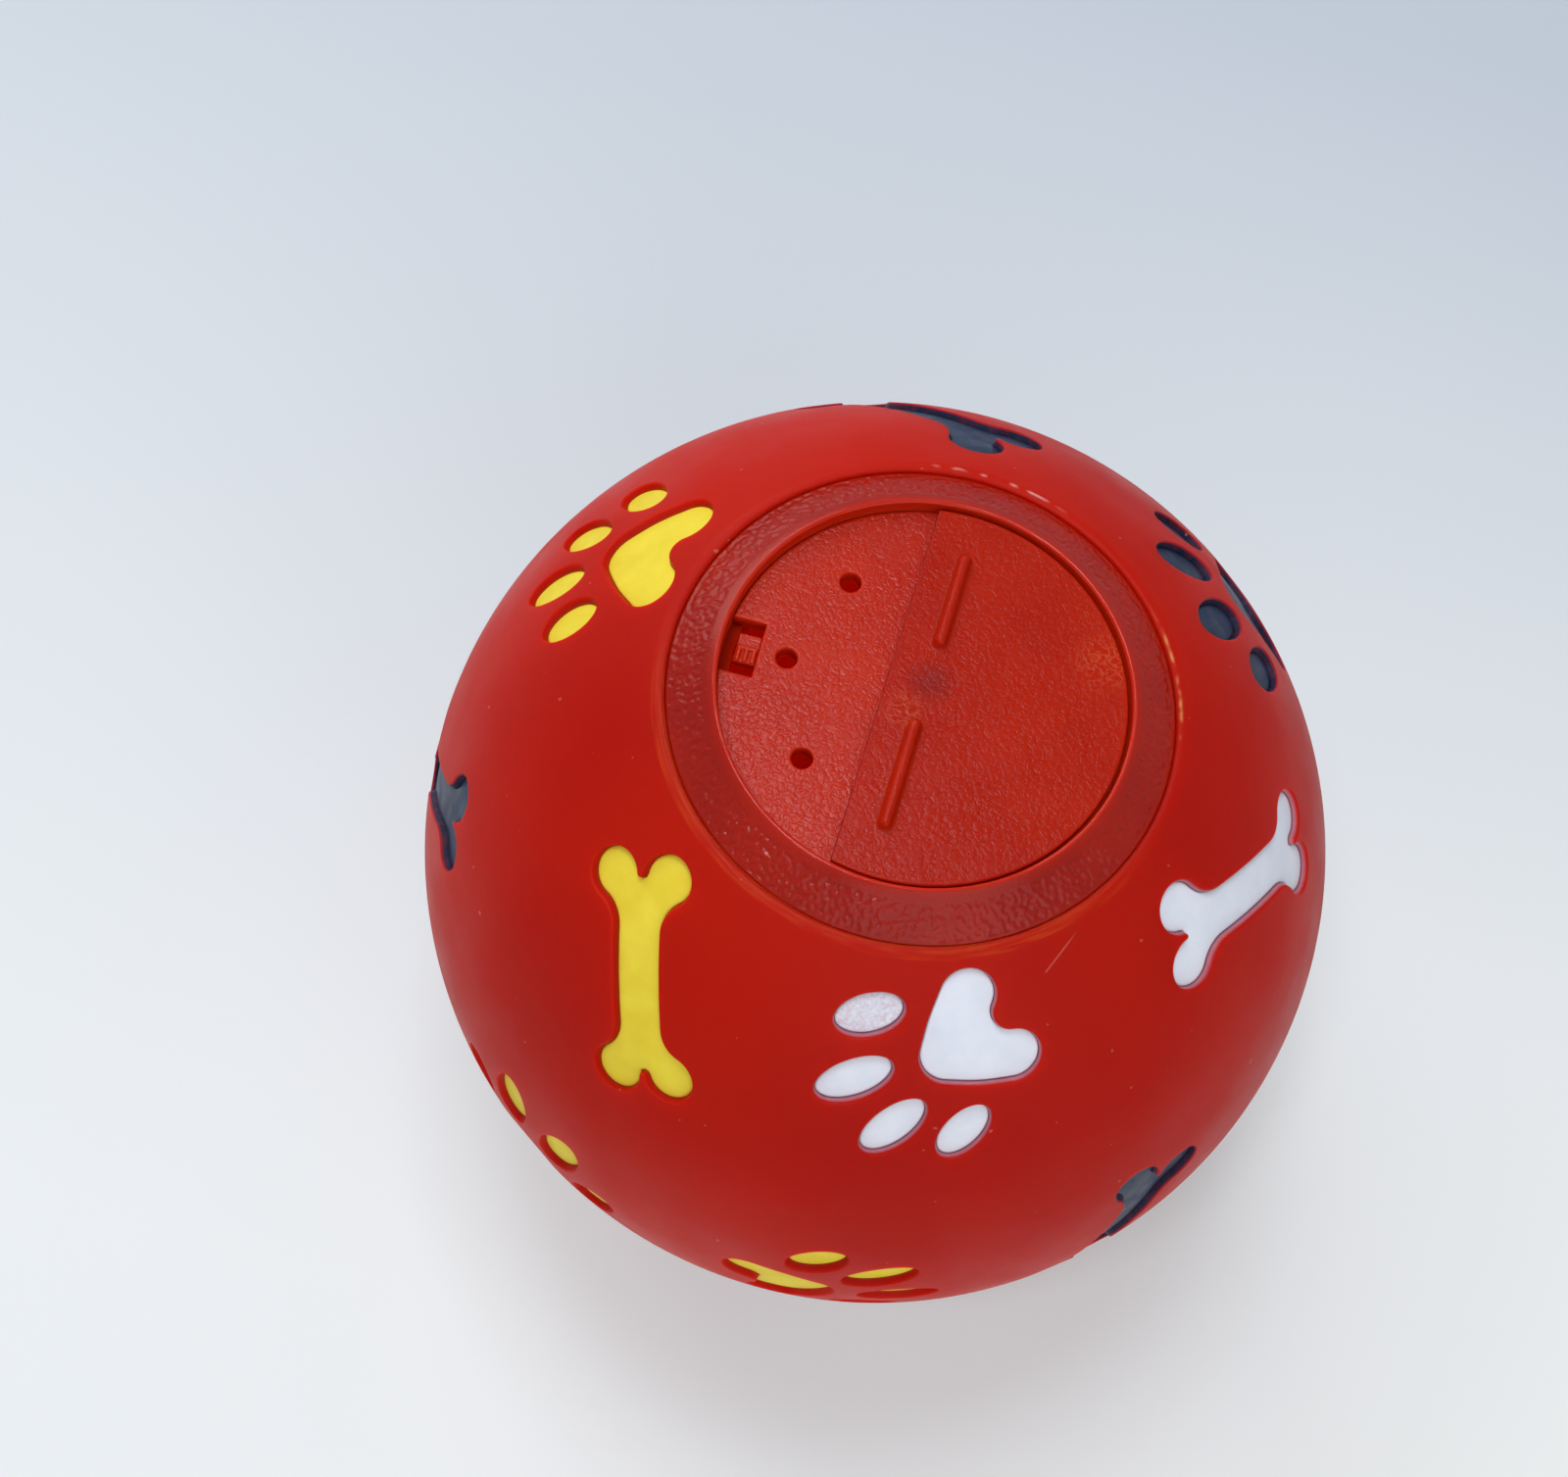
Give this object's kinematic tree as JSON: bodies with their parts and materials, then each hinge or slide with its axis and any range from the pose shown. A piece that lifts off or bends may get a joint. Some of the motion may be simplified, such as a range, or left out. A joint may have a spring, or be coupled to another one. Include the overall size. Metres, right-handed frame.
{
  "type": "treat ball",
  "caption": "Hollow soft ball with sunk, painted paws and bones and a snap-in cap, whose turning shutter covers or opens a treat port.",
  "frame": {"origin": "centre of the ball", "axes": "+Z out of the middle of the cap, -X to the click tongue, +X to the treat port"},
  "size_m": [0.11, 0.11, 0.1053],
  "materials": {
    "ball_vinyl": "satin soft vinyl",
    "cap_plastic": "fine moulded grain",
    "paint_white": "satin paint",
    "paint_yellow": "satin paint",
    "paint_navy": "satin paint"
  },
  "bodies": {
    "ball": {"ball_shell": "ball_vinyl", "collar": "cap_plastic", "base_plate": "cap_plastic", "white_paw_top": "paint_white", "white_bone_top": "paint_white", "navy_paw_top": "paint_navy", "navy_bone_top": "paint_navy", "yellow_paw_top": "paint_yellow", "yellow_bone_top": "paint_yellow", "navy_bone_side": "paint_navy", "yellow_paw_side": "paint_yellow", "yellow_paw_front": "paint_yellow", "navy_bone_front": "paint_navy", "yellow_bone_side": "paint_yellow", "white_paw_side": "paint_white", "yellow_paw_back": "paint_yellow", "white_bone_side": "paint_white", "white_paw_back": "paint_white", "navy_paw_low": "paint_navy", "white_bone_low": "paint_white", "yellow_paw_low": "paint_yellow", "navy_bone_low": "paint_navy", "white_paw_low": "paint_white"},
    "shutter": {"shutter": "cap_plastic"},
    "tongue": {"click_tongue": "cap_plastic"}
  },
  "joints": [
    {"name": "shutter_turn", "type": "hinge", "parent": "ball", "child": "shutter", "pos_m": [0, 0, 0.0484], "axis": [0, 0, 1], "continuous": true},
    {"name": "tongue_press", "type": "hinge", "parent": "ball", "child": "tongue", "pos_m": [-0.01795, 0, 0.0471], "axis": [0, -1, 0], "range_deg": [0, 8], "stiffness_Nm_per_rad": 0.05}
  ]
}
